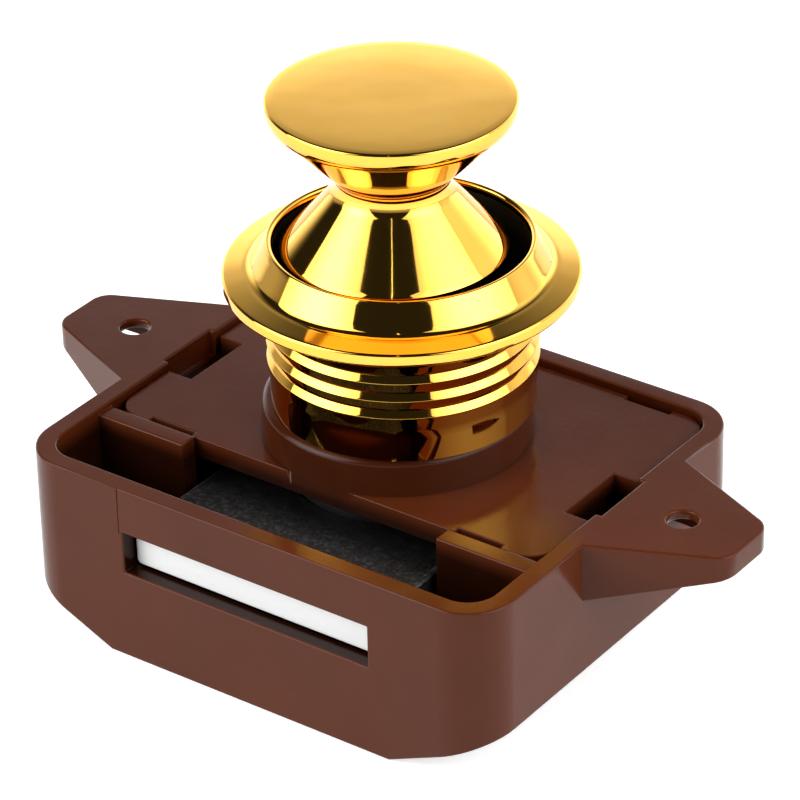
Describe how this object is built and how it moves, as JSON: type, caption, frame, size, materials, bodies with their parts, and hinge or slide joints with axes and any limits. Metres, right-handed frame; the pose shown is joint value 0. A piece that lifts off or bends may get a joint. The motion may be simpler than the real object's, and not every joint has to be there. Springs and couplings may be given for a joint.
{
  "type": "push button cabinet lock",
  "caption": "Push button cabinet lock: eared tub case with a sliding bolt, snap-in cover and a spool knob that works through a flanged, barbed door rosette.",
  "frame": {"origin": "point of the knob axis on the case rim plane, midway between the two screw holes", "axes": "+X along the bolt face, -Y the way the bolt leaves the case, +Z out of the door towards the knob"},
  "size_m": [0.078, 0.0436, 0.0529],
  "materials": {
    "case_plastic": "glossy moulded brown plastic",
    "cover_plastic": "glossy moulded brown plastic",
    "rosette_plating": "bright gold plating on moulded plastic",
    "knob_plating": "bright gold plating on moulded plastic",
    "fastener_steel": "zinc plated steel",
    "plunger_plastic": "black moulded plastic",
    "pin_steel": "bright drawn steel",
    "spring_steel": "spring steel",
    "bolt_metal": "die cast zinc alloy with a bright ground front"
  },
  "bodies": {
    "housing": {"case": "case_plastic", "cover_plate": "cover_plastic", "follower_pin": "pin_steel", "follower_spring": "spring_steel", "main_spring": "spring_steel"},
    "push_knob": {"knob": "knob_plating", "knob_screw": "fastener_steel", "plunger": "plunger_plastic", "drive_pin_left": "pin_steel", "drive_pin_right": "pin_steel"},
    "dead_bolt": {"bolt": "bolt_metal"},
    "door_rosette": {"rosette": "rosette_plating"},
    "latch_follower": {"heart_follower": "pin_steel"}
  },
  "joints": [
    {"name": "knob_push", "type": "slide", "parent": "housing", "child": "push_knob", "axis": [0, 0, 1], "range_m": [-0.0106, 0], "stiffness_N_per_m": 550, "springref_m": 0.011, "deforming": ["main_spring"]},
    {"name": "bolt_slide", "type": "slide", "parent": "housing", "child": "dead_bolt", "axis": [0, -1, 0], "range_m": [0, 0.0075]},
    {"name": "rosette_lift", "type": "slide", "parent": "housing", "child": "door_rosette", "axis": [-0.0365, 0, 0.9993], "range_m": [0, 0.034]},
    {"name": "follower_swing", "type": "hinge", "parent": "housing", "child": "latch_follower", "pos_m": [0, 0.0104, -0.014], "axis": [0, 1, 0], "range_deg": [0, 23.3]}
  ],
  "couplings": [
    {"joint": "bolt_slide", "follows": "knob_push", "ratio": -0.7075}
  ]
}
